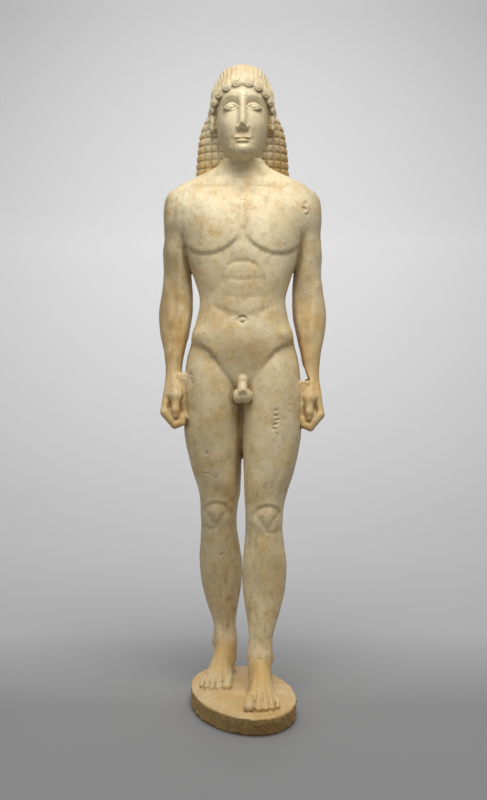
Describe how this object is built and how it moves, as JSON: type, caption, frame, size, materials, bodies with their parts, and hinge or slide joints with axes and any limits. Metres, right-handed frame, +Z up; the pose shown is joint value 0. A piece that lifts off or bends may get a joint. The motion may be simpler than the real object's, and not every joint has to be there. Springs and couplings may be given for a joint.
{
  "type": "kouros statue",
  "caption": "Marble kouros: a nude youth stands with the left foot forward and the fists at the thighs, on a low oval plinth carved from the same block.",
  "frame": {"origin": "middle of the underside of the plinth", "axes": "+Z up, from the plinth to the crown of the head; +Y from the figure's front to its back; +X to the figure's own left"},
  "size_m": [0.404, 0.4588, 1.53],
  "materials": {
    "marble": "weathered cream marble with an ochre patina, smooth on the body and rough on the plinth's side"
  },
  "bodies": {
    "root": {"kouros": "marble"}
  },
  "joints": []
}
